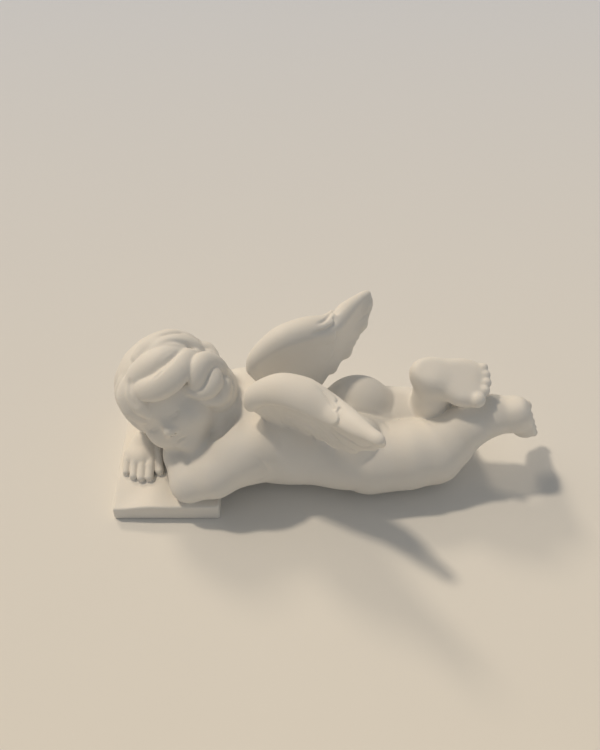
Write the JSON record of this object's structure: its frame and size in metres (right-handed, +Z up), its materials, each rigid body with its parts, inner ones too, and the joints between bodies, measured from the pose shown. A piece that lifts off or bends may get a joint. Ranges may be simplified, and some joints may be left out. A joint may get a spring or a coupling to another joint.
{
  "type": "porcelain angel figurine",
  "caption": "Winged cherub in matt unglazed porcelain, lying on its front with its chin on folded arms on a small slab, one foot raised.",
  "frame": {"origin": "on the surface the figurine lies on, under the middle of its outline seen from above", "axes": "+Z up; +X along the body from the head to the feet; the face looks towards -Y"},
  "size_m": [0.146, 0.07, 0.0545],
  "materials": {
    "bisque": "matt, unglazed bisque porcelain, warm white, with a very fine even grain"
  },
  "bodies": {
    "root": {"angel_figurine": "bisque"}
  },
  "joints": []
}
